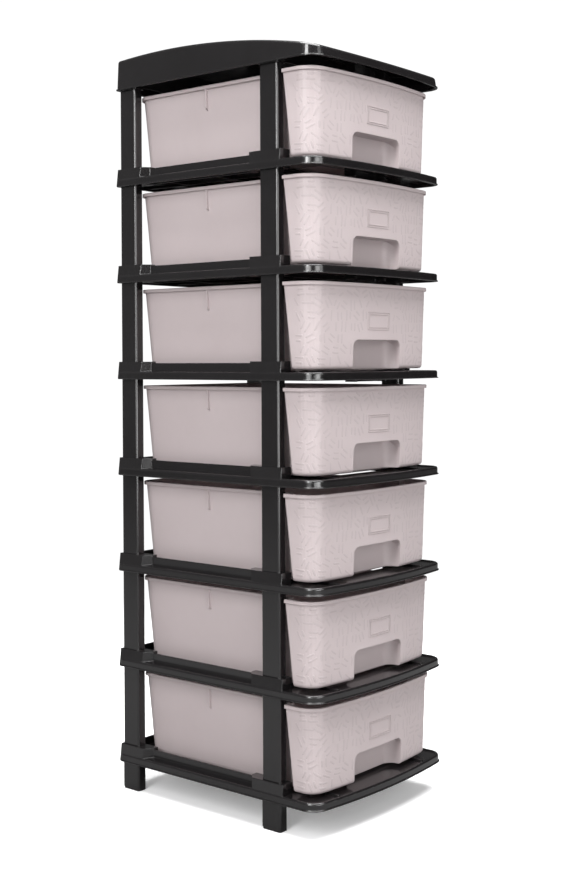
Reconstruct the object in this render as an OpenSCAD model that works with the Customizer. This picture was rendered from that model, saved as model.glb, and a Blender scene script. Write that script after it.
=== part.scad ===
// Drawer tower: moulded shelves stacked on tube posts, with one tray drawer on each shelf.
// Millimetres. The origin is on the floor, under the middle of the tower. The front faces -Y.

/* [Tower] */
// Number of drawers
tiers = 7; // [2:1:9]
// Height from one shelf to the next
tier_h = 132; // [120:1:170]
// Width over the shelf flanges
tower_w = 287; // [270:1:340]
// Depth over the shelf flanges, along the middle
tower_d = 359; // [340:1:420]
// How far the middle of the front edge bows out past its ends
front_bow = 12; // [6:1:18]
// Radius of the two front corners, seen from above
front_r = 24; // [20:1:30]
// Radius of the two back corners, seen from above
back_r = 6; // [5:0.5:10]

/* [Shelf] */
// How far the foot flange stands out past the wall above it
flange_out = 1.5; // [1:0.1:2.5]
// Thickness of the foot flange
flange_t = 1.6; // [1.2:0.1:2.5]
// Height of the front lip over the underside of the flange
lip_h = 10.6; // [9.5:0.1:14]
// Thickness of the outer wall and of the front lip
lip_t = 3.2; // [2.4:0.1:4]
// Radius of the outer top edge of the front lip
lip_r = 2.6; // [1:0.1:3]
// Height of the deck's top face
deck_z = 8.7; // [7:0.1:9.2]
// Thickness of the deck
deck_t = 2; // [1.6:0.1:2.6]
// Height of the side and back rails
rail_h = 22; // [16:0.5:26]
// Thickness of the side and back rails
rail_t = 2.4; // [1.8:0.1:3]
// How far the side rails lie in from the flange's edge
rail_in = 14; // [10:0.5:16]
// Rise of the ledge between the lip and the side rail
ledge_rise = 1.4; // [0.5:0.1:3]
// Depth of the stiffening ribs under the deck
rib_h = 5; // [3:0.5:6]
// Thickness of those ribs
rib_t = 1.8; // [1.2:0.1:2.4]
// Half the distance between the two runners that a drawer slides on
runner_x = 92; // [82:1:98]
// Width of a runner
runner_w = 3; // [2:0.5:5]
// How far the runners stand over the front lip
runner_up = 0.2; // [0.1:0.1:1]

/* [Deck windows] */
// Half the width of the middle column of windows
window_mid = 23.5; // [15:0.5:30]
// Width of the bars between the columns
bar_w = 10; // [6:0.5:14]
// Width of the outer columns of windows
window_side = 44; // [30:1:48]
// Depth of the long windows, front to back
window_d = 70; // [50:1:74]
// Depth of the front window
front_window_d = 53; // [40:1:60]
// Depth of the bars between the rows
bar_d = 14; // [8:1:20]
// From the shelf's front edge to the front window
window_front = 50; // [44:1:60]
// Corner radius of the windows
window_r = 5; // [2:0.5:8]

/* [Posts and feet] */
// Width of a post, left to right
post_w = 14.5; // [12:0.5:15]
// Depth of a post, front to back
post_d = 29.7; // [24:0.1:34]
// Wall of the post tube
post_wall = 2; // [1.5:0.1:3]
// Radius of the post's upright edges
post_r = 3; // [2.2:0.1:4]
// From the flange's side edge to the post
post_in = 6.6; // [6:0.1:8]
// From the flange's back edge to the back post
post_back = 3.3; // [3:0.1:6]
// From the middle of the front edge to the front face of the front post
post_front = 72.3; // [70:0.1:96]
// Gap between a post and its socket, on each side
post_fit = 0.15; // [0.1:0.05:0.3]
// Height of a foot below the bottom shelf
foot_h = 38; // [20:1:80]
// How much deeper a foot is than the post above it, at its back
foot_extra = 1.4; // [0.5:0.1:3]
// Chamfer round the bottom of a foot
foot_chamfer = 3; // [1:0.5:4]
// Thickness of a foot's sole
sole_t = 4; // [3:0.5:8]

/* [Collars] */
// Height of the corner collars
collar_h = 24; // [18:0.5:30]
// Wall between the post socket and the inside of the tower
collar_wall = 1.4; // [1.2:0.1:2]
// How far the collar's top lies in from the flange's edge
collar_in = 4.2; // [3:0.1:4.6]
// Length of the front collar in front of its post
collar_ahead = 6.9; // [4:0.1:10]
// Length of the front collar behind its post
collar_behind = 11.4; // [6:0.1:16]
// Length of the back collar in front of its post
back_collar_ahead = 9.6; // [6:0.1:16]
// Length of the slanted end of each collar
collar_slant = 12; // [6:0.5:16]

/* [Top cover] */
// Height of the cover at its highest place
cover_h = 44; // [40:0.5:60]
// From the back edge to that highest place
cover_peak = 86.6; // [60:0.1:120]
// Radius of the curve that the top follows from back to front
cover_curve = 1130; // [1100:5:1600]
// Radius of the cover's upper edge
cover_edge = 4; // [2:0.5:5]
// Wall of the cover
cover_t = 2.4; // [1.8:0.1:3]
// How far the cover's wall leans in from its foot to its upper edge
cover_lean = 1.5; // [0.5:0.1:3]

/* [Drawer stop] */
// Width of the stop under each deck and under the cover
stop_w = 66; // [40:1:80]
// How far the stop hangs below the flange
stop_drop = 3; // [1:0.5:6]
// From the front edge to the stop's cross wall
stop_in = 45; // [40:1:48]
// Length of the stop's two cheeks
stop_cheek = 16; // [8:1:20]

/* [Drawer] */
// Wall and floor thickness of the drawer
tray_t = 2; // [1.6:0.1:2.6]
// Gap from the drawer's rim up to the next flange
rim_gap = 9; // [6:0.5:16]
// Height of the rim
rim_h = 4.5; // [3:0.5:8]
// How far the rim stands out past the wall
rim_out = 2.6; // [2:0.1:3]
// Thickness of the rim
rim_t = 1.5; // [1.2:0.1:1.8]
// From the shelf's front edge to the drawer's front, at the top
face_in = 15; // [13:0.5:20]
// From the shelf's side edge to the side of the drawer's front, at the top
face_side = 13.3; // [12:0.1:16]
// Corner radius of the drawer's front, at the top
face_r = 26; // [24:0.5:30]
// How far the front leans in from top to bottom
face_lean = 4; // [2:0.5:6]
// Gap between the lip and the bottom edge of the front
face_lift = 2.9; // [1.5:0.1:5]
// Radius of the front's bottom edge
face_edge = 4.5; // [3:0.5:6]
// Gap between the front's return and the front post, at the top
return_gap = 3.8; // [3:0.1:8]
// How far the back end of the return leans forward at the bottom
return_lean = 10; // [4:1:14]
// Gap between a post and the rim of the drawer's bin
bin_gap = 1.9; // [1:0.1:4]
// How much wider the rim of the bin is than its wall, on each side
bin_rim = 3; // [2.5:0.1:4]
// From the shelf's back edge to the back rim of the drawer
bin_back = 15.6; // [12:0.1:24]
// How far the bin's walls lean in from top to bottom
bin_lean = 10; // [6:0.5:11]
// Corner radius of the bin at the top
bin_r = 22; // [21:0.5:30]
// Radius of the bin's bottom edge
bin_edge = 5; // [3:0.5:6]
// From the front of the drawer to the front end of the bin's floor
bin_front = 16; // [12:1:20]
// From the back rim to the middle of the rib on each side
side_rib_y = 133; // [100:1:160]
// Height of that rib
side_rib_h = 28; // [15:1:40]
// Thickness of that rib
side_rib_t = 2.4; // [1.5:0.1:4]
// Play between the drawer and its runners
run_gap = 0.2; // [0.1:0.05:0.5]

/* [Handle and label] */
// Width of the hand recess
grip_w = 103; // [80:1:130]
// Height of the recess's ceiling over the flange
grip_top = 51; // [40:1:60]
// Depth of the recess, front to back
grip_d = 25.4; // [18:0.2:34]
// Radius of the recess's upper corners, seen from the front
grip_r = 10; // [5:0.5:16]
// Radius of the recess's inner corners, seen from above
grip_plan_r = 15; // [8:0.5:18]
// Width of the label frame
label_w = 47; // [30:1:70]
// Height of the label frame
label_h = 23; // [15:1:30]
// From the shelf's flange up to the label frame
label_z = 64; // [58:1:80]
// Width of a line of the label frame
label_line = 1; // [0.6:0.1:2]
// Gap between the two lines of the label frame
label_step = 1.6; // [1:0.1:3]
// How far the lines stand out
label_up = 0.6; // [0.3:0.1:1]

/* [Hidden] */
SIDES = ["left", "right"];
ENDS = ["front", "back"];
CORNERS = [for (e = ENDS, s = SIDES) str(e, "_", s)];

// A small overlap for cuts that have to pass a face
over = 1;
// How far a round corner stands proud of the faces beside it, so that they meet cleanly
proud = 0.1;
// Steps round a full circle, and round the full circle of the wide front curve
fine = 96;
wide = 1080;
frame_colour = "#1d1b1c";
drawer_colour = "#cfc4c6";

// An outline, seen from above: half width, foremost y, front radius, corner radius, back y and
// back corner radius
HALF = 0;
APEX = 1;
ARC = 2;
CORNER = 3;
BACK = 4;
BACK_R = 5;

front_y = -tower_d / 2;
back_y = tower_d / 2;
half_w = tower_w / 2;
arc_r = (half_w * half_w + front_bow * front_bow) / (2 * front_bow);
shelf_outline = [half_w, front_y, arc_r, front_r, back_y, back_r];

post_x = half_w - post_in - post_w / 2;
back_post_y = back_y - post_back - post_d / 2;
front_post_y = front_y + post_front + post_d / 2;
seat_z = deck_z - deck_t;
post_len = tier_h + seat_z - deck_z;

runner_z = lip_h + runner_up;
tray_z = runner_z + run_gap;
tray_top = tier_h - rim_gap;
face_z = lip_h + face_lift;
face_back = front_post_y - post_d / 2 - return_gap;
face_outline = [half_w - face_side, front_y + face_in, arc_r, face_r, face_back, 0];
bin_half = post_x - post_w / 2 - bin_gap - bin_rim;
bin_back_y = back_y - bin_back - bin_rim;
bin_outline = [bin_half, front_y + face_in + bin_front, arc_r, bin_r, bin_back_y, bin_r];
// How far the filled solids of the drawer reach in from their outlines
fill = 40;
fill_lap = 5;

function arc_y(o) = o[APEX] + o[ARC];
function corner_x(o) = o[HALF] - o[CORNER];
function corner_y(o) = arc_y(o) - sqrt(pow(o[ARC] - o[CORNER], 2) - pow(corner_x(o), 2));
function corner_a(o) = asin(corner_x(o) / (o[ARC] - o[CORNER]));
function shrink(o, e) = [o[HALF] - e, o[APEX] + e, o[ARC] - e, o[CORNER] - e, o[BACK] - e, o[BACK_R] - e];
function shelf_z(n) = foot_h + (tiers - n) * tier_h;

// ---- Shapes that repeat ----

// A rectangle with round corners, centred
module round_rect(w, d, r) {
    square([w - 2 * r, d], center = true);
    square([w, d - 2 * r], center = true);
    for (i = [-1, 1], j = [-1, 1])
        translate([i * (w / 2 - r), j * (d / 2 - r)]) circle(r, $fn = fine);
}

// The area inside an outline
module plan(o) {
    cx = corner_x(o);
    cy = corner_y(o);
    tangent_x = cx * o[ARC] / (o[ARC] - o[CORNER]);
    translate([-o[HALF], cy]) square([2 * o[HALF], o[BACK] - o[BACK_R] - cy]);
    translate([-o[HALF] + o[BACK_R], cy]) square([2 * (o[HALF] - o[BACK_R]), o[BACK] - cy]);
    intersection() {
        translate([-tangent_x, o[APEX] - over]) square([2 * tangent_x, cy - o[APEX] + over]);
        translate([0, arc_y(o)]) circle(o[ARC], $fn = wide);
    }
    for (s = [-1, 1]) {
        translate([s * cx, cy]) circle(o[CORNER] + proud, $fn = fine);
        translate([s * (o[HALF] - o[BACK_R]), o[BACK] - o[BACK_R]]) circle(o[BACK_R] + proud, $fn = fine);
    }
}

// A profile is the right-hand part of a section: its x is 0 on the outline and negative inside,
// and it reaches in by fill. The next four modules carry it round an outline as a filled solid.
module turned(r, steps) {
    rotate_extrude($fn = steps) intersection() {
        translate([r, 0]) children();
        translate([0, -tower_w]) square([r + fill, 2 * tower_w]);
    }
}

module front_fill(o) {
    cx = corner_x(o);
    cy = corner_y(o);
    tangent_x = cx * o[ARC] / (o[ARC] - o[CORNER]);
    intersection() {
        translate([0, arc_y(o), 0]) turned(o[ARC], wide) children();
        translate([-tangent_x, o[APEX] - fill, -tier_h])
            cube([2 * tangent_x, cy - o[APEX] + fill, 3 * tier_h]);
    }
    for (s = [-1, 1]) translate([s * cx, cy, 0]) turned(o[CORNER] + proud, fine) children();
}

module side_fill(o, y0, y1, z0, z1) {
    core = o[HALF] - fill + fill_lap;
    along(y0, y1) {
        for (m = [0, 1]) mirror([m, 0]) translate([o[HALF], 0]) children();
        translate([-core, z0]) square([2 * core, z1 - z0]);
    }
}

module back_fill(o) {
    for (s = [-1, 1]) translate([s * (o[HALF] - o[BACK_R]), o[BACK] - o[BACK_R], 0])
        turned(o[BACK_R] + proud, fine) children();
    translate([0, o[BACK], 0]) across(2 * (o[HALF] - o[BACK_R])) children();
}

// Right half of an outline as points: the front's wide curve, the front with its corner, and the
// back's corner
function arc_points(o, angle, steps) =
    [for (i = [0:steps]) let (a = angle * i / steps) [o[ARC] * sin(a), arc_y(o) - o[ARC] * cos(a)]];
function front_points(o) = concat(
    arc_points(o, corner_a(o), 12),
    [for (i = [1:8]) let (a = corner_a(o) + (90 - corner_a(o)) * i / 8)
        [corner_x(o) + o[CORNER] * sin(a), corner_y(o) - o[CORNER] * cos(a)]]);
function back_points(o, steps) =
    [for (i = [0:steps]) let (a = 90 * i / steps)
        [o[HALF] - o[BACK_R] * (1 - cos(a)), o[BACK] - o[BACK_R] * (1 - sin(a))]];

// Closed solid through a stack of half rings, mirrored to the left. The first point of each ring
// lies on the middle plane.
module loft(rings) {
    n = len(rings[0]);
    last = len(rings) - 1;
    points = concat(
        [for (r = rings, p = r) p],
        [for (r = rings, p = r) [-p[0], p[1], p[2]]]);
    right = function (r, i) r * n + i;
    left = function (r, i) i == 0 ? r * n : len(rings) * n + r * n + i;
    faces = concat(
        [for (r = [0:last - 1], i = [0:n - 2]) [right(r, i), right(r + 1, i), right(r + 1, i + 1), right(r, i + 1)]],
        [for (r = [0:last - 1], i = [0:n - 2]) [left(r, i), left(r, i + 1), left(r + 1, i + 1), left(r + 1, i)]],
        [for (r = [0:last - 1]) [right(r, n - 1), right(r + 1, n - 1), left(r + 1, n - 1), left(r, n - 1)]],
        [for (i = [0:n - 2]) i == 0
            ? [right(last, 0), left(last, 1), right(last, 1)]
            : [right(last, i), left(last, i), left(last, i + 1), right(last, i + 1)]],
        [for (i = [0:n - 2]) i == 0
            ? [right(0, 0), right(0, 1), left(0, 1)]
            : [right(0, i), right(0, i + 1), left(0, i + 1), left(0, i)]]);
    polyhedron(points, faces, convexity = 4);
}

// Stretches a side elevation, drawn in y and z, across the tower
module across(w) {
    rotate([90, 0, 90]) linear_extrude(w, center = true) children();
}

// Stretches a front elevation, drawn in x and z, from y0 back to y1
module along(y0, y1) {
    translate([0, y1, 0]) rotate([90, 0, 0]) linear_extrude(y1 - y0) children();
}

// One copy at each corner post's place
module at_posts() {
    for (m = [0, 1], y = [front_post_y, back_post_y])
        mirror([m, 0, 0]) translate([post_x, y, 0]) children();
}

// The room for a post, from z0 to z1
module post_room(z0, z1) {
    translate([0, 0, z0]) linear_extrude(z1 - z0)
        round_rect(post_w + 2 * post_fit, post_d + 2 * post_fit, post_r);
}

// The outside of a post's socket, from the flange up to z
module post_boss(z) {
    linear_extrude(z)
        round_rect(post_w + 2 * (post_fit + collar_wall), post_d + 2 * (post_fit + collar_wall), post_r);
}

// ---- Shelf ----

// Section through the flange, the outer wall and the rounded lip
module lip_profile() {
    wall = -flange_out;
    translate([-fill, 0]) square([fill + wall, lip_h - lip_r]);
    translate([-fill, 0]) square([fill + wall - lip_r, lip_h]);
    translate([wall - lip_r, lip_h - lip_r]) circle(lip_r, $fn = fine);
    translate([-fill, 0]) square([fill - flange_t / 2, flange_t]);
    translate([-flange_t / 2, flange_t / 2]) circle(flange_t / 2, $fn = fine);
}

// Front elevation of a collar: its outer face leans in towards the top
module collar_face() {
    polygon([
        [half_w - flange_out - lip_t, 0],
        [half_w - flange_out, flange_t / 2],
        [half_w - flange_out, flange_t],
        [half_w - collar_in, collar_h],
        [post_x - post_w / 2 - collar_wall, collar_h],
        [post_x - post_w / 2 - collar_wall, 0]]);
}

// Two collars and the side rail between them, on the right-hand side
module side_wall() {
    inner_x = post_x - post_w / 2 - collar_wall;
    rail_x = half_w - rail_in;
    y0 = front_post_y - post_d / 2 - collar_ahead;
    y1 = front_post_y + post_d / 2 + collar_behind;
    y2 = back_post_y - post_d / 2 - back_collar_ahead;
    y3 = back_y - flange_out;
    difference() {
        intersection() {
            along(y0, y3) collar_face();
            linear_extrude(collar_h) union() {
                polygon([[half_w, y0], [inner_x, y0], [inner_x, y1 + collar_slant],
                    [rail_x, y1 + collar_slant], [half_w, y1]]);
                polygon([[half_w, y3], [inner_x, y3], [inner_x, y2 - collar_slant],
                    [rail_x, y2 - collar_slant], [half_w, y2]]);
            }
        }
        // Cores that keep the collar's long ends thin-walled
        for (y = [[front_post_y + post_d / 2 + 2 * collar_wall, y1], [y2, back_post_y - post_d / 2 - 2 * collar_wall]])
            translate([inner_x + collar_wall, y[0], -over])
                cube([rail_x - inner_x - collar_wall, y[1] - y[0], collar_h - collar_wall + over]);
    }
    translate([rail_x - rail_t, y1, 0]) cube([rail_t, y2 - y1, rail_h]);
    along(y1, y2) polygon([
        [rail_x - rail_t, seat_z],
        [half_w - flange_out - lip_t, seat_z],
        [half_w - flange_out - lip_r, lip_h],
        [rail_x - rail_t, lip_h + ledge_rise]]);
}

// Windows through the deck: rows of three, and one wide window at the front
module windows() {
    pitch_x = window_mid + bar_w + window_side / 2;
    front = front_y + window_front;
    row_0 = front + front_window_d + bar_d;
    row_d = window_d + bar_d;
    translate([0, front + front_window_d / 2])
        round_rect(2 * (pitch_x + window_side / 2), front_window_d, window_r);
    for (i = [0, 1], x = [-1, 0, 1])
        translate([x * pitch_x, row_0 + i * row_d + window_d / 2])
            round_rect(x == 0 ? 2 * window_mid : window_side, window_d, window_r);
    back_row = row_0 + 2 * row_d;
    back_row_d = back_post_y - post_d / 2 - back_collar_ahead - back_row;
    for (x = [-1, 0, 1])
        translate([x * pitch_x, back_row + back_row_d / 2])
            round_rect(x == 0 ? 2 * window_mid : window_side, back_row_d, window_r);
}

// Ribs under the bars between the windows
module deck_ribs() {
    edge = half_w - flange_out - lip_t;
    z = seat_z - rib_h;
    front = front_y + window_front;
    rows = [for (i = [0:2]) front + front_window_d + bar_d / 2 + i * (window_d + bar_d)];
    for (y = rows)
        translate([-edge, y - rib_t / 2, z]) cube([2 * edge, rib_t, rib_h]);
    for (x = [window_mid + bar_w / 2, window_mid + bar_w * 1.5 + window_side], m = [0, 1])
        mirror([m, 0, 0]) translate([x - rib_t / 2, rows[0], z])
            cube([rib_t, back_y - flange_out - lip_t - rows[0], rib_h]);
}

// U-shaped stop that catches the back rim of a drawer
module drawer_stop(root_z) {
    y = front_y + stop_in;
    h = root_z + stop_drop;
    translate([-stop_w / 2, y, -stop_drop]) cube([stop_w, rib_t, h]);
    for (s = [-1, 1])
        translate([s * (stop_w / 2 - rib_t / 2) - rib_t / 2, y - stop_cheek, -stop_drop])
            cube([rib_t, stop_cheek + over, h]);
}

// The deck with its lip and flange, hollow below and open above
module deck() {
    inner = shrink(shelf_outline, flange_out + lip_t);
    difference() {
        union() {
            front_fill(shelf_outline) lip_profile();
            side_fill(shelf_outline, corner_y(shelf_outline), back_y - back_r, 0, lip_h) lip_profile();
            back_fill(shelf_outline) lip_profile();
        }
        translate([0, 0, -over]) linear_extrude(seat_z + over) plan(inner);
        translate([0, 0, deck_z]) linear_extrude(lip_h) plan(inner);
        linear_extrude(lip_h) windows();
    }
}

module shelf(n) {
    color(frame_colour) translate([0, 0, shelf_z(n)]) difference() {
        union() {
            deck();
            for (m = [0, 1]) mirror([m, 0, 0]) side_wall();
            translate([-post_x, back_y - flange_out - rail_t, 0]) cube([2 * post_x, rail_t, rail_h]);
            for (s = [-1, 1])
                translate([s * runner_x - runner_w / 2, front_y + flange_out + front_bow, seat_z])
                    cube([runner_w, tower_d - front_bow - 2 * flange_out - rail_t, runner_z - seat_z]);
            deck_ribs();
            at_posts() post_boss(seat_z);
            drawer_stop(seat_z);
        }
        at_posts() {
            post_room(-over, seat_z);
            post_room(deck_z, collar_h + over);
        }
    }
}

// ---- Top cover ----

function cover_top(y) = cover_h - cover_curve + sqrt(pow(cover_curve, 2) - pow(y - back_y + cover_peak, 2));

// Closed domed solid over an outline: a leaning wall, a rounded upper edge and a top that is
// curved from back to front
module dome(o, lean, edge, low, down) {
    steps = 5;
    loft(concat(
        [[for (p = dome_points(o)) [p[0], p[1], low]]],
        [for (k = [0:steps]) let (a = 90 * k / steps, s = shrink(o, lean + edge * (1 - cos(a))))
            [for (p = dome_points(s)) [p[0], p[1], cover_top(p[1]) - down - edge * (1 - sin(a))]]]));
}

function dome_points(o) = let (steps = 15, y0 = corner_y(o), y1 = o[BACK] - o[BACK_R])
    concat(front_points(o), [for (i = [1:steps]) [o[HALF], y0 + (y1 - y0) * i / (steps + 1)]], back_points(o, 4));

// Side elevation from z up to the middle of the cover's skin, between y0 and y1
module under_skin(y0, y1, z) {
    steps = 6;
    polygon(concat(
        [[y1, z], [y0, z]],
        [for (i = [0:steps]) let (y = y0 + (y1 - y0) * i / steps) [y, cover_top(y) - cover_t / 2]]));
}

// Sockets, and the ribs and the drawer stop that reach up into the cover's skin
module cover_sockets() {
    at_posts() post_boss(deck_z);
    for (y = [front_post_y, back_post_y])
        across(2 * post_x) under_skin(y - rib_t / 2, y + rib_t / 2, seat_z);
    for (s = [-1, 1]) translate([s * post_x, 0, 0]) across(rib_t) under_skin(front_post_y, back_post_y, seat_z);
    y = front_y + stop_in;
    across(stop_w) under_skin(y, y + rib_t, -stop_drop);
    for (s = [-1, 1]) translate([s * (stop_w - rib_t) / 2, 0, 0])
        across(rib_t) under_skin(y - stop_cheek, y + rib_t, -stop_drop);
}

module top_cover() {
    color(frame_colour) translate([0, 0, shelf_z(0)]) difference() {
        union() {
            difference() {
                dome(shrink(shelf_outline, flange_out), cover_lean, cover_edge, flange_t / 2, 0);
                dome(shrink(shelf_outline, flange_out + cover_t), cover_lean, cover_edge - cover_t, -over, cover_t);
            }
            difference() {
                linear_extrude(flange_t) plan(shelf_outline);
                translate([0, 0, -over]) linear_extrude(flange_t + 2 * over)
                    plan(shrink(shelf_outline, flange_out + cover_t / 2));
            }
            cover_sockets();
        }
        at_posts() post_room(-over, seat_z);
    }
}

// ---- Posts and feet ----

module post(n, x, y) {
    color(frame_colour) translate([x, y, shelf_z(n) + deck_z]) linear_extrude(post_len) difference() {
        round_rect(post_w, post_d, post_r);
        round_rect(post_w - 2 * post_wall, post_d - 2 * post_wall, post_r - post_wall);
    }
}

module foot(x, y) {
    depth = post_d + foot_extra;
    color(frame_colour) translate([x, y, 0]) difference() {
        union() {
            intersection() {
                translate([0, foot_extra / 2, 0]) linear_extrude(foot_h) round_rect(post_w, depth, post_r);
                along(-depth, depth) chamfered(post_w, 0);
                across(2 * post_w) chamfered(depth, foot_extra / 2);
            }
            linear_extrude(foot_h + seat_z) round_rect(post_w, post_d, post_r);
        }
        translate([0, 0, sole_t]) linear_extrude(foot_h + seat_z)
            round_rect(post_w - 2 * post_wall, post_d - 2 * post_wall, post_r - post_wall);
    }
}

// Elevation of a foot with its bottom corners cut off
module chamfered(w, shift) {
    c = foot_chamfer;
    translate([shift, 0]) polygon([
        [-w / 2 + c, 0], [w / 2 - c, 0], [w / 2, c], [w / 2, foot_h], [-w / 2, foot_h], [-w / 2, c]]);
}

// ---- Drawer ----

// Heights from the bottom of a solid up to its top, each with how far its round bottom edge
// takes the wall in there
function levels(bottom, top, edge, steps) = concat(
    [for (k = [0:steps]) let (a = 90 * k / steps) [bottom + edge * (1 - cos(a)), edge * (1 - sin(a))]],
    [[top, 0]]);

// The drawer's front as a filled solid, e inside its outer faces and open at the top by lift
module face_solid(e, lift) {
    height = tray_top - face_z;
    loft([for (v = levels(face_z + e, tray_top + lift, face_edge - e, 4))
        let (down = tray_top - v[0], inset = e + face_lean * down / height + v[1])
        let (o = shrink(face_outline, inset), end = face_back - e - return_lean * down / height)
            [for (p = concat(front_points(o), [[o[HALF], end]])) [p[0], p[1], v[0]]]]);
}

// The drawer's bin as a filled solid, e inside its outer faces and open at the top by lift
module bin_solid(e, lift) {
    loft([for (v = levels(tray_z + e, tray_top + lift, bin_edge - e, 3))
        let (o = shrink(bin_outline, e + bin_lean * (tray_top - v[0]) / (tray_top - tray_z) + v[1]))
            [for (p = concat(arc_points(o, asin(o[HALF] / o[ARC]), 4), back_points(o, 6))) [p[0], p[1], v[0]]]]);
}

// The room that the hand recess takes, e larger on every side
module grip(e) {
    w = grip_w + 2 * e;
    y0 = front_y + face_in - over;
    y1 = front_y + face_in + grip_d + e;
    r = grip_plan_r + e;
    intersection() {
        linear_extrude(grip_top + e) union() {
            translate([-w / 2, y0]) square([w, y1 - r - y0]);
            translate([-w / 2 + r, y0]) square([w - 2 * r, y1 - y0]);
            for (s = [-1, 1]) translate([s * (w / 2 - r), y1 - r]) circle(r, $fn = fine);
        }
        along(y0, y1) union() {
            square_up(w, grip_top + e - grip_r);
            square_up(w - 2 * grip_r, grip_top + e);
            for (s = [-1, 1]) translate([s * (w / 2 - grip_r), grip_top + e - grip_r]) circle(grip_r, $fn = fine);
        }
    }
}

// A rectangle that stands on the x axis, centred
module square_up(w, h) {
    translate([-w / 2, 0]) square([w, h]);
}

// Section through the turned-down rim, from inside the wall outwards
module rim_profile(out) {
    edge = rim_t / 2;
    translate([-fill, tray_top - rim_t]) square([fill + out - edge, rim_t]);
    translate([out - rim_t, tray_top - rim_h]) square([rim_t, rim_h - edge]);
    translate([out - edge, tray_top - edge]) circle(edge, $fn = fine);
}

module rim() {
    low = tray_top - rim_t;
    bin_y = bin_outline[BACK] - bin_outline[BACK_R];
    front_fill(face_outline) rim_profile(rim_out);
    side_fill(face_outline, corner_y(face_outline), face_back, low, tray_top) rim_profile(rim_out);
    side_fill(bin_outline, face_back - tray_t, bin_y, low, tray_top) rim_profile(bin_rim);
    back_fill(bin_outline) rim_profile(bin_rim);
}

// The upright rib under the rim on each side of the bin, with a wedge at its foot
module side_ribs() {
    y = back_y - bin_back - side_rib_y;
    top = tray_top - rim_h;
    slope = bin_lean / (tray_top - tray_z);
    outer = bin_outline[HALF] + bin_rim;
    wall = function (z) bin_outline[HALF] - tray_t / 2 - slope * (tray_top - z);
    low = top - side_rib_h;
    for (m = [0, 1]) mirror([m, 0, 0]) along(y - side_rib_t / 2, y + side_rib_t / 2) polygon([
        [wall(tray_top), tray_top - rim_t / 2],
        [outer - rim_t / 2, tray_top - rim_t / 2],
        [outer - rim_t / 2, top],
        [outer - rim_t, low + bin_rim],
        [wall(low), low]]);
}

// The two raised lines round the label's place, on the curved and leaning front
module label_frame() {
    slope = face_lean / (tray_top - face_z);
    half_a = asin(label_w / arc_r);
    z0 = label_z - over;
    z1 = label_z + label_h + over;
    intersection() {
        translate([0, arc_y(face_outline), 0]) rotate(-90 - half_a)
            rotate_extrude(angle = 2 * half_a, $fn = wide) translate([arc_r, 0]) polygon([
                [label_up - slope * (tray_top - z0), z0],
                [label_up - slope * (tray_top - z1), z1],
                [-tray_t / 2 - slope * (tray_top - z1), z1],
                [-tray_t / 2 - slope * (tray_top - z0), z0]]);
        along(front_y, front_y + face_in + tray_t + face_lean) translate([0, label_z + label_h / 2]) {
            label_ring(label_w, label_h);
            label_ring(label_w - 2 * (label_line + label_step), label_h - 2 * (label_line + label_step));
        }
    }
}

module label_ring(w, h) {
    difference() {
        square([w, h], center = true);
        square([w - 2 * label_line, h - 2 * label_line], center = true);
    }
}

module drawer(n) {
    color(drawer_colour) translate([0, 0, shelf_z(n)]) difference() {
        union() {
            face_solid(0, 0);
            bin_solid(0, 0);
            rim();
            side_ribs();
            label_frame();
        }
        difference() {
            union() {
                face_solid(tray_t, over);
                bin_solid(tray_t, over);
            }
            grip(tray_t);
        }
        grip(0);
    }
}

top_cover();
for (n = [1:tiers]) {
    shelf(n);
    drawer(n);
    for (e = [0, 1], s = [0, 1])
        post(n, (2 * s - 1) * post_x, e == 0 ? front_post_y : back_post_y);
}
for (e = [0, 1], s = [0, 1])
    foot((2 * s - 1) * post_x, e == 0 ? front_post_y : back_post_y);
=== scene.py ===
"""Looks of the drawer tower: plastics, raised dashes on the drawer fronts, studio and camera.

The frame is in metres, with z up and the front towards -Y. Sizes of the dashes and of the front that
they lie on are in millimetres.
"""

import math  # noqa: E402
import random  # noqa: E402

import bpy  # noqa: E402
from mathutils import Matrix, Vector  # noqa: E402


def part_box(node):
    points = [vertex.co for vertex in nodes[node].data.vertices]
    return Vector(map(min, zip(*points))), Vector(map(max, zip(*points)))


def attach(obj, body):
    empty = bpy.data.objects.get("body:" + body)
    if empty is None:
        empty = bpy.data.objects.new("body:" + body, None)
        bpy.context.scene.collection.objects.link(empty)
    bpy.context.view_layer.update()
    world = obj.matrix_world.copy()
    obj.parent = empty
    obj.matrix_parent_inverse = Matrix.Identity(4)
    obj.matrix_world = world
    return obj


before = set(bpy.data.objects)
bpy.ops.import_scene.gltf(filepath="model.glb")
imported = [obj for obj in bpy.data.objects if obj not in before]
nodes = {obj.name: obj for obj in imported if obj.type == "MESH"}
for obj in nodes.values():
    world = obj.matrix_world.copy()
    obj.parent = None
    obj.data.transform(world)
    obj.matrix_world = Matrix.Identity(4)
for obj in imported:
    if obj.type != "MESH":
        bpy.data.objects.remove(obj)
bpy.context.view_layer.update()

MM = 0.001
WHITE = (1, 1, 1, 1)
scene = bpy.context.scene
# Each tier has one drawer. The top one is drawer_1.
TIERS = sum(name.startswith("drawer_") for name in nodes)


# ---------------------------------------------------------------- node helpers

# A Mix node has a set of sockets for each kind of data. These are the ones for colours.
MIX_FACTOR = 0
MIX_A = 6
MIX_B = 7
MIX_RESULT = 2


def new_tree(owner):
    """The emptied node tree of a material or a world."""
    owner.use_nodes = True
    owner.node_tree.nodes.clear()
    return owner.node_tree


def put(tree, socket, value):
    """Set an input, to a value or from another socket."""
    if isinstance(value, bpy.types.NodeSocket):
        tree.links.new(value, socket)
    else:
        socket.default_value = value


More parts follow.
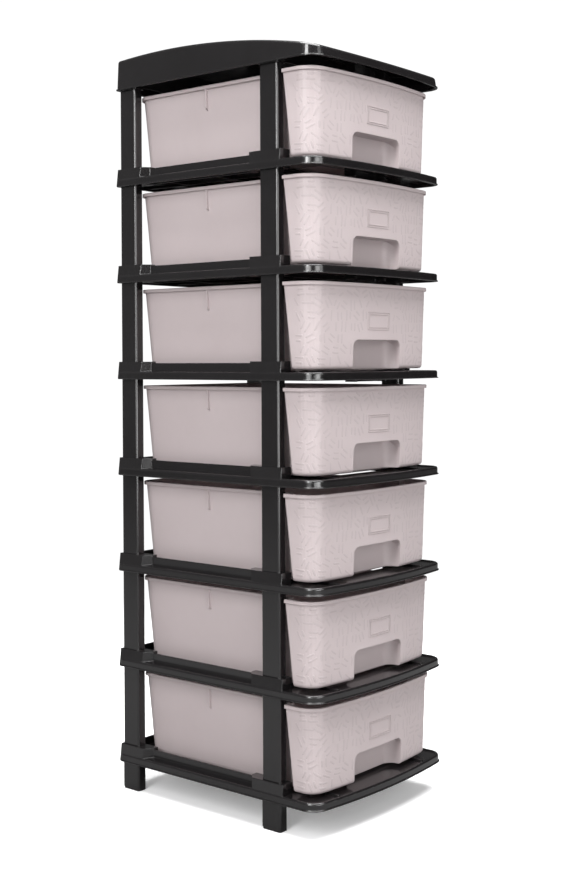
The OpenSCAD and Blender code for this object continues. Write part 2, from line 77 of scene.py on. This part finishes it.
def add(tree, kind, **sockets):
    """A new node. Each keyword sets the input of that name, with spaces for the underscores."""
    node = tree.nodes.new(kind)
    for name, value in sockets.items():
        put(tree, node.inputs[name.replace("_", " ")], value)
    return node


def noise(tree, vector, scale, detail=3.0, rough=0.5):
    node = add(tree, "ShaderNodeTexNoise", Vector=vector, Scale=scale, Detail=detail, Roughness=rough)
    return node.outputs["Fac"]


def ramp(tree, value, span, to=(0.0, 1.0)):
    """The value, stretched from one span to another and held at its ends."""
    (low, high), (to_low, to_high) = span, to
    node = add(
        tree, "ShaderNodeMapRange", Value=value, From_Min=low, From_Max=high, To_Min=to_low, To_Max=to_high
    )
    return node.outputs["Result"]


def maths(tree, operation, a, b):
    node = tree.nodes.new("ShaderNodeMath")
    node.operation = operation
    put(tree, node.inputs[0], a)
    put(tree, node.inputs[1], b)
    return node.outputs[0]


def blend(tree, factor, a, b):
    """Colour a where the factor is 0, and colour b where it is 1."""
    node = tree.nodes.new("ShaderNodeMix")
    node.data_type = "RGBA"
    put(tree, node.inputs[MIX_FACTOR], factor)
    put(tree, node.inputs[MIX_A], a)
    put(tree, node.inputs[MIX_B], b)
    return node.outputs[MIX_RESULT]


def mix_shaders(tree, factor, a, b):
    """Shader a where the factor is 0, and shader b where it is 1."""
    node = tree.nodes.new("ShaderNodeMixShader")
    put(tree, node.inputs[0], factor)
    put(tree, node.inputs[1], a)
    put(tree, node.inputs[2], b)
    return node.outputs[0]


def emission(tree, strength):
    return add(tree, "ShaderNodeEmission", Color=WHITE, Strength=strength).outputs[0]


def background(tree, strength, colour=WHITE):
    return add(tree, "ShaderNodeBackground", Color=colour, Strength=strength).outputs[0]


# ---------------------------------------------------------------- plastics

# Scales of the noises that every plastic has, in cells per metre
DRIFT_SCALE = 9.0
CLOUD_SCALE = 70.0
STREAK_SCALE = 14.0
# Shares of the wide drift and of the finer cloud in the tone
DRIFT_SHARE = 0.7
CLOUD_SHARE = 0.3
# Spans of a noise that are stretched to the whole range
NARROW = (0.35, 0.65)
WIDE = (0.3, 0.7)
# Flow marks run upright: their scale along z, over the one across
STREAK_UPRIGHT = 0.12
# How far flow marks change the roughness, to either side, and their height over that of the grain
STREAK_ROUGH = 0.02
STREAK_HEIGHT = 0.6
BUMP_STRENGTH = 0.35
BEVEL_SAMPLES = 6
COAT_ROUGH = 0.12


def moulded(name, dark, light, rough, grain, grain_depth, flow, coat=0.0, edge=0.0, through=0.0):
    """Injection-moulded plastic: slow drifts of tone, a fine grain and faint flow marks.

    dark and light are the ends of its tone, and rough has those of its roughness. grain is in cells per
    metre. grain_depth and edge, the radius that softens its edges, are in metres. flow scales the flow
    marks. coat is the weight of a glossy skin, and through is the weight of light that shines through.
    """
    material = bpy.data.materials.new(name)
    tree = new_tree(material)
    where = tree.nodes.new("ShaderNodeTexCoord").outputs["Object"]

    drift = noise(tree, where, DRIFT_SCALE, detail=2.0)
    cloud = noise(tree, where, CLOUD_SCALE, detail=4.0, rough=0.6)
    drift_part = maths(tree, "MULTIPLY", drift, DRIFT_SHARE)
    cloud_part = maths(tree, "MULTIPLY", cloud, CLOUD_SHARE)
    tone = maths(tree, "ADD", drift_part, cloud_part)
    upright = add(tree, "ShaderNodeMapping", Vector=where, Scale=(flow, flow, flow * STREAK_UPRIGHT))
    streak = noise(tree, upright.outputs["Vector"], STREAK_SCALE)
    streak_part = ramp(tree, streak, NARROW, (-STREAK_ROUGH, STREAK_ROUGH))
    gloss = maths(tree, "ADD", ramp(tree, cloud, WIDE, rough), streak_part)

    fine = noise(tree, where, grain, detail=2.0)
    height = maths(tree, "ADD", fine, maths(tree, "MULTIPLY", streak, STREAK_HEIGHT))
    bump = add(tree, "ShaderNodeBump", Strength=BUMP_STRENGTH, Distance=grain_depth, Height=height)
    if edge:
        soft = add(tree, "ShaderNodeBevel", Radius=edge)
        soft.samples = BEVEL_SAMPLES
        put(tree, bump.inputs["Normal"], soft.outputs["Normal"])
    normal = bump.outputs["Normal"]

    shader = add(
        tree,
        "ShaderNodeBsdfPrincipled",
        Base_Color=blend(tree, ramp(tree, tone, NARROW), dark, light),
        Roughness=gloss,
        Normal=normal,
        Coat_Weight=coat,
        Coat_Roughness=COAT_ROUGH,
    )
    surface = shader.outputs["BSDF"]
    if through:
        glow = add(tree, "ShaderNodeBsdfTranslucent", Color=light, Normal=normal)
        surface = mix_shaders(tree, through, surface, glow.outputs["BSDF"])
    add(tree, "ShaderNodeOutputMaterial", Surface=surface)
    return material


black = moulded(
    "frame_gloss_black",
    dark=(0.0078, 0.0069, 0.0073, 1),
    light=(0.0100, 0.0090, 0.0095, 1),
    rough=(0.17, 0.22),
    grain=500.0,
    grain_depth=0.00002,
    flow=1.0,
    coat=0.25,
    edge=0.0018,
)
greige = moulded(
    "drawer_satin_greige",
    dark=(0.665, 0.583, 0.589, 1),
    light=(0.700, 0.617, 0.623, 1),
    rough=(0.42, 0.50),
    grain=1100.0,
    grain_depth=0.00004,
    flow=0.6,
    edge=0.0012,
    through=0.3,
)
# The raised dashes are the drawer's own greige painted a little darker, with a rougher gloss and no
# softened edges. The darker tone is painted shade that makes the low dashes read as dark bars.
dash_greige_painted_shade = moulded(
    "drawer_satin_raised_painted_shade",
    dark=(0.622, 0.545, 0.551, 1),
    light=(0.655, 0.577, 0.583, 1),
    rough=(0.46, 0.54),
    grain=1100.0,
    grain_depth=0.00002,
    flow=0.6,
    through=0.3,
)

for name, node in nodes.items():
    node.data.materials.clear()
    node.data.materials.append(greige if name.startswith("drawer_") else black)


# ---------------------------------------------------------------- the front that the dashes lie on

# The outline of a drawer's front at its rim, seen from above and centred in x: half its width, its foremost
# place, and the radii of its wide curve and of its corners
FRONT_HALF = 130.2
FRONT_Y = -164.5
FRONT_ARC = 864.0
FRONT_CORNER = 26.0
# Heights of the rim's top and of the front's bottom edge over the underside of the drawer's shelf
RIM_Z = 123.0
BOTTOM_Z = 13.5
# How far the front leans in from the rim to the bottom edge
LEAN = 4.0

# Smooth fields round the label and round the hand recess: half their widths, and their heights
LABEL_HALF = 25
LABEL_LOW = 60
LABEL_TOP = 91
GRIP_HALF = 54
GRIP_TOP = 54
# How far the tips of a dash stay away from those fields
CLEAR = 1.5
# Widths of the smooth strips along the bottom edge and the rim
STRIP_LOW = 4
STRIP_TOP = 6.5
# Where the dashes end at each side: the way there along the outline at the rim, and how much shorter it is
# at height 0
LAST_DASH = 154
LAST_DASH_SLANT = 9.45


def on_front(s, z):
    """A point s along the front's outline from its middle, at height z, and the way out of it."""
    inset = LEAN * (RIM_Z - z) / (RIM_Z - BOTTOM_Z)
    arc, corner, half = FRONT_ARC - inset, FRONT_CORNER - inset, FRONT_HALF - inset
    arc_y = FRONT_Y + inset + arc
    arc_angle = math.asin((half - corner) / (arc - corner))
    side, run = (1 if s >= 0 else -1), abs(s)
    if run < arc * arc_angle:
        angle = run / arc
        point = Vector((side * arc * math.sin(angle), arc_y - arc * math.cos(angle), z))
        return point, Vector((side * math.sin(angle), -math.cos(angle), 0))
    corner_x = half - corner
    corner_y = arc_y - (arc - corner) * math.cos(arc_angle)
    angle = arc_angle + (run - arc * arc_angle) / corner
    if angle < math.pi / 2:
        out = Vector((side * math.sin(angle), -math.cos(angle), 0))
        return Vector((side * corner_x, corner_y, z)) + corner * out, out
    past = run - arc * arc_angle - corner * (math.pi / 2 - arc_angle)
    return Vector((side * half, corner_y + past, z)), Vector((side, 0, 0))


def smooth(s, z):
    """Whether a place on the front is kept free of dashes: label, hand recess, edges and ends."""
    on_label = abs(s) < LABEL_HALF + CLEAR and LABEL_LOW - CLEAR < z < LABEL_TOP + CLEAR
    on_grip = abs(s) < GRIP_HALF + CLEAR and z < GRIP_TOP + CLEAR
    on_strip = not (BOTTOM_Z + STRIP_LOW < z < RIM_Z - STRIP_TOP)
    past_end = abs(s) > LAST_DASH - LAST_DASH_SLANT * (RIM_Z - z) / RIM_Z
    return on_label or on_grip or on_strip or past_end


# ---------------------------------------------------------------- raised dashes

# Greatest length of a dash, its width, its height, and how deep its foot is sunk into the front
DASH_LENGTH = 14.0
DASH_WIDTH = 2.8
DASH_HEIGHT = 0.14
DASH_SINK = 0.13
# Pairs of dashes stand on a grid. The rows lie closer than the columns, by this factor, and every second
# row is shifted by half a cell.
CELL = 15.5
ROW_FACTOR = 0.92
FIRST_ROW = 24.5
ROWS = 7
COLUMNS_EACH_SIDE = 10
# Distance between the two dashes of a pair
PAIR_GAP = 6.6
SEED = 11
# Random shifts from the grid, along the front and upwards
SHIFT_ALONG = 1.5
SHIFT_UP = 1.2
# Directions of the dashes, and how far they stray from them, in degrees. What is listed twice comes twice
# as often.
DIRECTIONS = (0, 0, 30, 60, 90, 90, 120, 150)
WOBBLE = 6
# How many dashes stand in one place of the grid
COUNTS = (2, 2, 2, 1)
# The shortest dash, as a share of the longest
SHORTEST = 0.6


def mirrored(middle, half):
    """A row of places, given by its middle and by the half on the positive side."""
    return [(-first, *rest) for first, *rest in reversed(half)] + [middle] + half


# Section of a dash: places across it in widths, and heights in heights of the dash. Below 0 is its foot.
SECTION = mirrored((0.0, 1.0), [(0.24, 0.8), (0.45, 0.25), (0.62, -0.5)])
# Places along a dash in lengths, each with its share of the width and of the height
STATIONS = mirrored((0.0, 1.0, 1.0), [(0.3, 1.0, 1.0), (0.45, 0.8, 0.7), (0.52, 0.4, 0.05)])


def axes(angle):
    """The ways along and across a dash, on the unrolled front."""
    along = Vector((math.cos(angle), math.sin(angle)))
    return along, Vector((-along.y, along.x))


def dash_places():
    """Middle, direction and length of each dash on the grid, also of those on smooth places."""
    rng = random.Random(SEED)
    for column in range(-COLUMNS_EACH_SIDE, COLUMNS_EACH_SIDE + 1):
        for row in range(ROWS):
            shifted = CELL / 2 if row % 2 else 0
            s = column * CELL + shifted + rng.uniform(-SHIFT_ALONG, SHIFT_ALONG)
            z = FIRST_ROW + row * CELL * ROW_FACTOR + rng.uniform(-SHIFT_UP, SHIFT_UP)
            angle = math.radians(rng.choice(DIRECTIONS) + rng.uniform(-WOBBLE, WOBBLE))
            across = axes(angle)[1]
            count = rng.choice(COUNTS)
            for k in range(count):
                middle = Vector((s, z)) + across * ((k - (count - 1) / 2) * PAIR_GAP)
                yield middle, angle, DASH_LENGTH * rng.uniform(SHORTEST, 1.0)


def add_dash(verts, faces, middle, angle, length):
    """Add one raised bar that follows the front's curve, with tapered ends."""
    along, across = axes(angle)
    start = len(verts)
    for place, wide, high in STATIONS:
        for aside, up in SECTION:
            s, z = middle + along * (place * length) + across * (aside * wide * DASH_WIDTH)
            point, out = on_front(s, z)
            verts.append(point + out * (DASH_HEIGHT * up * high if up > 0 else -DASH_SINK))
    ring = len(SECTION)
    last = len(verts) - ring
    for first in range(start, last, ring):
        for j in range(ring):
            a, b = first + j, first + (j + 1) % ring
            faces.append((a, a + ring, b + ring, b))
    faces.append(tuple(range(start, start + ring)))
    faces.append(tuple(reversed(range(last, last + ring))))


def emboss_mesh():
    """The dashes of one drawer front, with z from the underside of the drawer's shelf."""
    verts, faces = [], []
    for middle, angle, length in dash_places():
        along = axes(angle)[0]
        places = [middle + along * (end * length / 2) for end in (-1, 0, 1)]
        if not any(smooth(*place) for place in places):
            add_dash(verts, faces, middle, angle, length)
    mesh = bpy.data.meshes.new("front_emboss")
    mesh.from_pydata([v * MM for v in verts], [], faces)
    mesh.polygons.foreach_set("use_smooth", [True] * len(mesh.polygons))
    mesh.update()
    return mesh


emboss = emboss_mesh()
# The dashes take the darker greige: painted shade on the raised bars.
emboss.materials.append(dash_greige_painted_shade)
for n in range(1, TIERS + 1):
    piece = bpy.data.objects.new(f"emboss_{n}", emboss)
    rim_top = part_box(f"drawer_{n}")[1][2]
    piece.location.z = rim_top - RIM_Z * MM
    scene.collection.objects.link(piece)
    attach(piece, f"drawer_{n}")


# ---------------------------------------------------------------- floor

# Half the side of the floor, and how far it lies below the feet, so that their faces don't meet
FLOOR_HALF = 6.0
FLOOR_DROP = 0.0002
# Grain of the paper, in cells per metre, and the two ends of its tone
PAPER_GRAIN = 240.0
PAPER_DARK = (0.91, 0.91, 0.915, 1)
PAPER_LIGHT = (0.95, 0.95, 0.955, 1)
# Light that is added to the paper for the camera
PAPER_LIFT = 0.22
# The floor's grey for all rays but the camera's, so that it throws little light on the tower
BOUNCE = (0.25, 0.25, 0.25, 1)
# Distances from the origin between which the paper turns into the white of the background, and the
# strength of that white
FADE = (0.75, 1.5)
BACKDROP = 1.05


def floor_paper():
    """Pale paper that turns white away from the tower."""
    material = bpy.data.materials.new("floor_paper")
    tree = new_tree(material)
    where = tree.nodes.new("ShaderNodeTexCoord").outputs["Object"]
    distance = tree.nodes.new("ShaderNodeVectorMath")
    distance.operation = "LENGTH"
    put(tree, distance.inputs[0], where)
    far = ramp(tree, distance.outputs["Value"], FADE)

    tone = ramp(tree, noise(tree, where, PAPER_GRAIN), WIDE)
    paper = add(tree, "ShaderNodeBsdfDiffuse", Color=blend(tree, tone, PAPER_DARK, PAPER_LIGHT))
    lifted = tree.nodes.new("ShaderNodeAddShader")
    put(tree, lifted.inputs[0], paper.outputs[0])
    put(tree, lifted.inputs[1], emission(tree, PAPER_LIFT))
    seen = mix_shaders(tree, far, lifted.outputs[0], emission(tree, BACKDROP))

    dim = add(tree, "ShaderNodeBsdfDiffuse", Color=BOUNCE)
    rays = tree.nodes.new("ShaderNodeLightPath").outputs
    surface = mix_shaders(tree, rays["Is Camera Ray"], dim.outputs[0], seen)
    add(tree, "ShaderNodeOutputMaterial", Surface=surface)
    return material


corners = [(x * FLOOR_HALF, y * FLOOR_HALF, 0) for x, y in ((-1, -1), (1, -1), (1, 1), (-1, 1))]
floor_mesh = bpy.data.meshes.new("floor")
floor_mesh.from_pydata(corners, [], [(0, 1, 2, 3)])
floor_mesh.materials.append(floor_paper())
floor = bpy.data.objects.new("floor", floor_mesh)
floor.location.z = -FLOOR_DROP
scene.collection.objects.link(floor)


# ---------------------------------------------------------------- world

# Colour and strength of the light from all sides
AROUND = (1.0, 0.99, 0.985, 1)
AROUND_LIGHT = 0.40
# What glossy surfaces see: a room that is brightest to the back left, with one window to the left and one
# to the front. A span holds two cosines of the angle to the axis, and a light the strengths there.
ROOM_AXIS = (-0.77, 0.64, 0.35)
ROOM_SPAN = (-0.6, 0.9)
ROOM_LIGHT = (0.02, 0.24)
WINDOW_AXES = ((-0.95, -0.31, 0.1), (-0.2, -0.98, 0.1))
WINDOW_SPAN = (0.945, 0.985)
WINDOW_LIGHT = (0.0, 7.0)


def towards(tree, direction, axis, span, to):
    """Strength by how close a direction lies to an axis."""
    node = tree.nodes.new("ShaderNodeVectorMath")
    node.operation = "DOT_PRODUCT"
    put(tree, node.inputs[0], direction)
    put(tree, node.inputs[1], Vector(axis).normalized())
    return ramp(tree, node.outputs["Value"], span, to)


def studio_world():
    """White for the camera, a room with two windows for reflections, and an even light for the rest."""
    world = bpy.data.worlds.new("studio")
    tree = new_tree(world)
    sky = tree.nodes.new("ShaderNodeTexCoord").outputs["Generated"]
    rays = tree.nodes.new("ShaderNodeLightPath").outputs
    reflected = towards(tree, sky, ROOM_AXIS, ROOM_SPAN, ROOM_LIGHT)
    for axis in WINDOW_AXES:
        reflected = maths(tree, "ADD", reflected, towards(tree, sky, axis, WINDOW_SPAN, WINDOW_LIGHT))
    around = background(tree, AROUND_LIGHT, AROUND)
    unseen = mix_shaders(tree, rays["Is Glossy Ray"], around, background(tree, reflected))
    surface = mix_shaders(tree, rays["Is Camera Ray"], unseen, background(tree, BACKDROP))
    add(tree, "ShaderNodeOutputWorld", Surface=surface)
    return world


scene.world = studio_world()


# ---------------------------------------------------------------- lamps


def softbox(name, place, target, width, height, power):
    """A rectangular lamp of some watts that faces a target."""
    data = bpy.data.lights.new(name, "AREA")
    data.shape = "RECTANGLE"
    data.size, data.size_y = width, height
    data.energy = power
    light = bpy.data.objects.new(name, data)
    light.location = place
    light.rotation_euler = (Vector(target) - Vector(place)).to_track_quat("-Z", "Y").to_euler()
    scene.collection.objects.link(light)


softbox("key", place=(0.5, -2.5, 1.5), target=(0, 0, 0.4), width=0.8, height=1.5, power=15)
softbox("side", place=(-2.5, -0.62, 1.9), target=(0, 0, 0.6), width=0.6, height=1.9, power=62)
softbox("low", place=(-0.9, -2.3, 0.3), target=(0, 0, 0.8), width=1.6, height=0.4, power=13)
softbox("top", place=(0.0, -0.3, 3.1), target=(0, 0, 0), width=2.6, height=2.6, power=215)


# ---------------------------------------------------------------- camera

# Fitted to the photograph: the camera's place in metres, its turn clockwise from +Y as seen from above, and
# its lens. The lens is for a picture with a longer side of 36 mm, and the shift is a share of that side.
CAMERA_PLACE = (-1.3914, -1.1667, 0.5929)
TURN = math.radians(50.456)
PITCH = math.radians(-0.819)
ROLL = math.radians(-0.248)
SENSOR = 36.0
LENS = 54.07
LENS_SHIFT = -0.0702
SEES_TO = 50.0


def fitted_camera():
    """The camera at the photograph's place and angle."""
    forward = Vector((math.sin(TURN) * math.cos(PITCH), math.cos(TURN) * math.cos(PITCH), math.sin(PITCH)))
    level_right = forward.cross(Vector((0, 0, 1))).normalized()
    level_up = level_right.cross(forward)
    right = level_right * math.cos(ROLL) + level_up * math.sin(ROLL)
    up = level_up * math.cos(ROLL) - level_right * math.sin(ROLL)
    data = bpy.data.cameras.new("camera")
    data.sensor_width = SENSOR
    data.lens = LENS
    data.shift_y = LENS_SHIFT
    data.clip_end = SEES_TO
    camera = bpy.data.objects.new("camera", data)
    turned = Matrix((right, up, -forward)).transposed().to_4x4()
    camera.matrix_world = Matrix.Translation(Vector(CAMERA_PLACE)) @ turned
    scene.collection.objects.link(camera)
    return camera


scene.camera = fitted_camera()
scene.view_settings.view_transform = "Standard"
